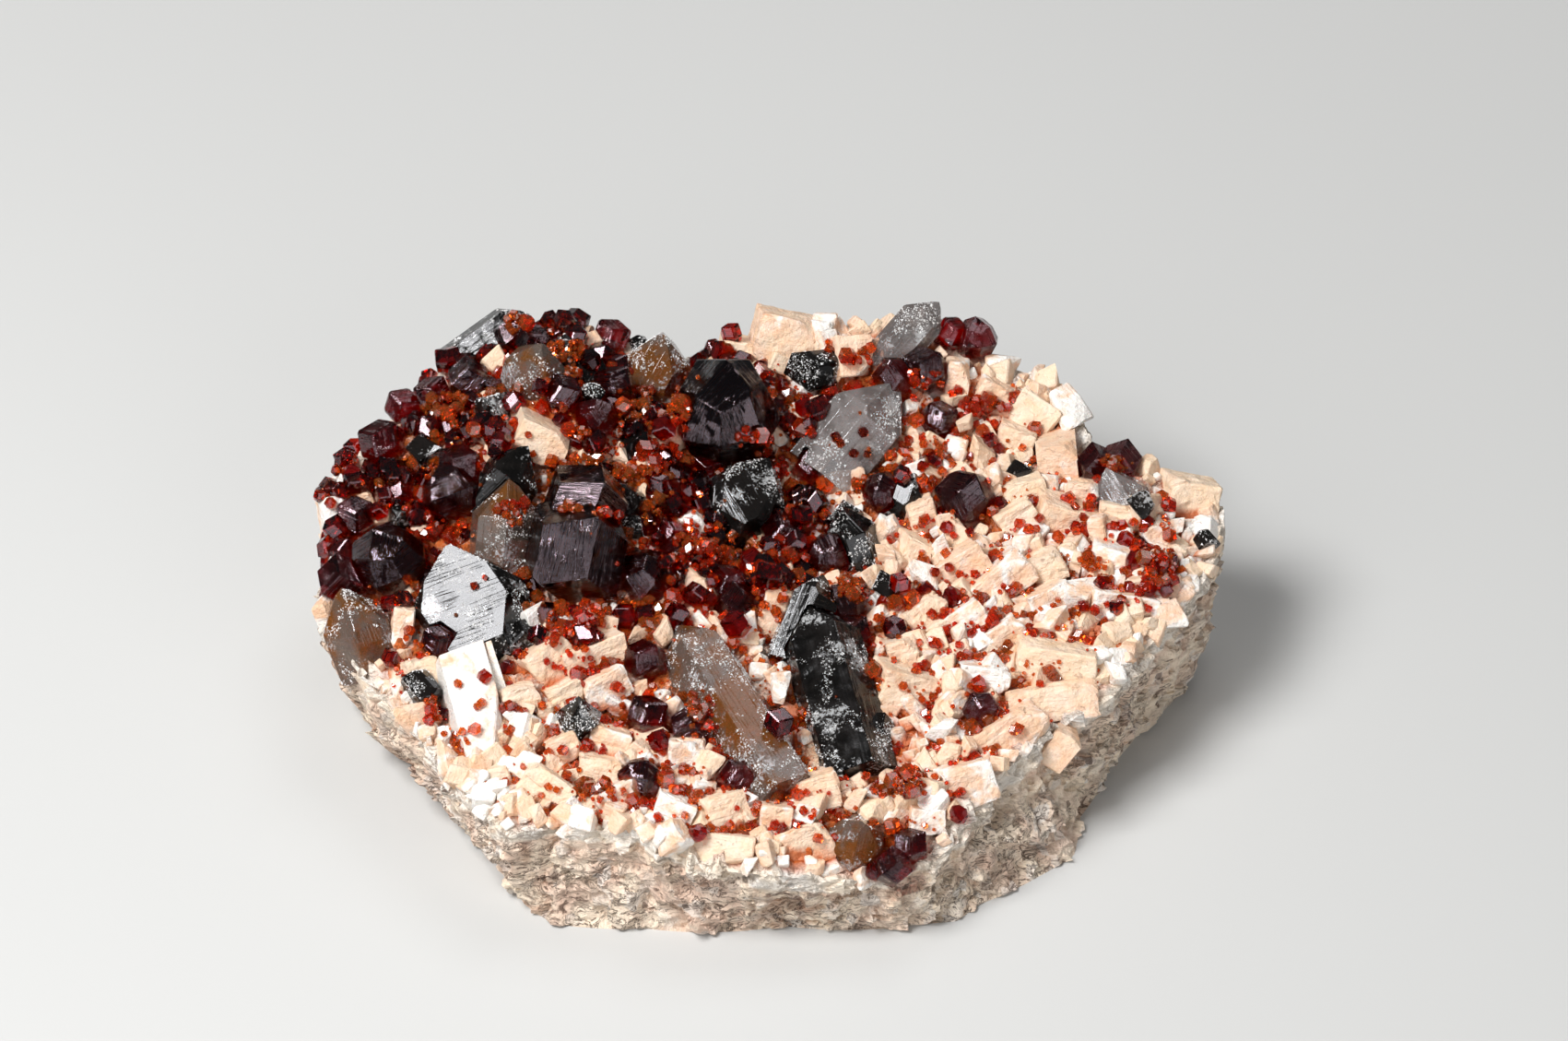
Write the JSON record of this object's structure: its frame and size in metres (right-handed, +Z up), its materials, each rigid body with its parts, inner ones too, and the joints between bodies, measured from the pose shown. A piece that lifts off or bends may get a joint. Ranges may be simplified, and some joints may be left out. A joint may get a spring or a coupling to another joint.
{
  "type": "garnet in matrix",
  "caption": "Mineral specimen: dark red garnet crystals and smoky quartz on a sloping plate of pale, blocky feldspar rock with a flat underside.",
  "frame": {"origin": "in the flat underside, under the middle of the plate", "axes": "+X to the right of the broad front, along the plate's length; +Y away from the viewer, towards the higher back; +Z up, out of the underside"},
  "size_m": [0.111, 0.0842, 0.0361],
  "materials": {
    "garnet": "gloss",
    "smoky_quartz": "gloss",
    "feldspar": "satin",
    "rock": "matt"
  },
  "bodies": {
    "root": {"garnet_great_back": "garnet", "garnet_great_front": "garnet", "garnet_left": "garnet", "garnet_middle": "garnet", "garnet_beside_black_quartz": "garnet", "garnet_twins": "garnet", "garnet_below_dark_quartz": "garnet", "garnet_right": "garnet", "garnet_dark_right": "garnet", "garnet_maroon": "garnet", "garnet_rear_low": "garnet", "garnet_slope_left": "garnet", "garnet_slope_right": "garnet", "garnet_tall": "garnet", "garnet_summit": "garnet", "garnet_back_edge": "garnet", "garnet_back_bright": "garnet", "garnet_back_red": "garnet", "garnet_black": "garnet", "garnet_silver": "garnet", "garnet_rear_right": "garnet", "garnet_rear_brown": "garnet", "garnet_rear_red": "garnet", "garnet_far_right": "garnet", "garnet_left_rim": "garnet", "garnet_dark_left": "garnet", "garnet_front_peak": "garnet", "garnet_front_orange": "garnet", "garnet_front_dark": "garnet", "garnet_front_pink": "garnet", "garnet_lone_right": "garnet", "garnet_centre": "garnet", "garnet_orange": "garnet", "garnet_red_pair": "garnet", "garnet_between_quartz": "garnet", "garnet_foot": "garnet", "garnet_low_left": "garnet", "garnet_lower_red": "garnet", "quartz_frosted": "smoky_quartz", "quartz_brown": "smoky_quartz", "quartz_speckled": "smoky_quartz", "quartz_long_brown": "smoky_quartz", "quartz_long_black": "smoky_quartz", "quartz_black_shoulder": "smoky_quartz", "quartz_dark_round": "smoky_quartz", "quartz_grey_rear": "smoky_quartz", "quartz_rear_edge": "smoky_quartz", "quartz_left_edge": "smoky_quartz", "quartz_behind_garnet": "smoky_quartz", "quartz_summit": "smoky_quartz", "quartz_smoky_back": "smoky_quartz", "quartz_pyramid": "smoky_quartz", "quartz_right_dark": "smoky_quartz", "quartz_right_rim": "smoky_quartz", "quartz_brown_foot": "smoky_quartz", "feldspar_cream": "feldspar", "feldspar_white_blade_left": "feldspar", "feldspar_white_blade_right": "feldspar", "feldspar_round_right": "feldspar", "matrix": "rock"}
  },
  "joints": []
}
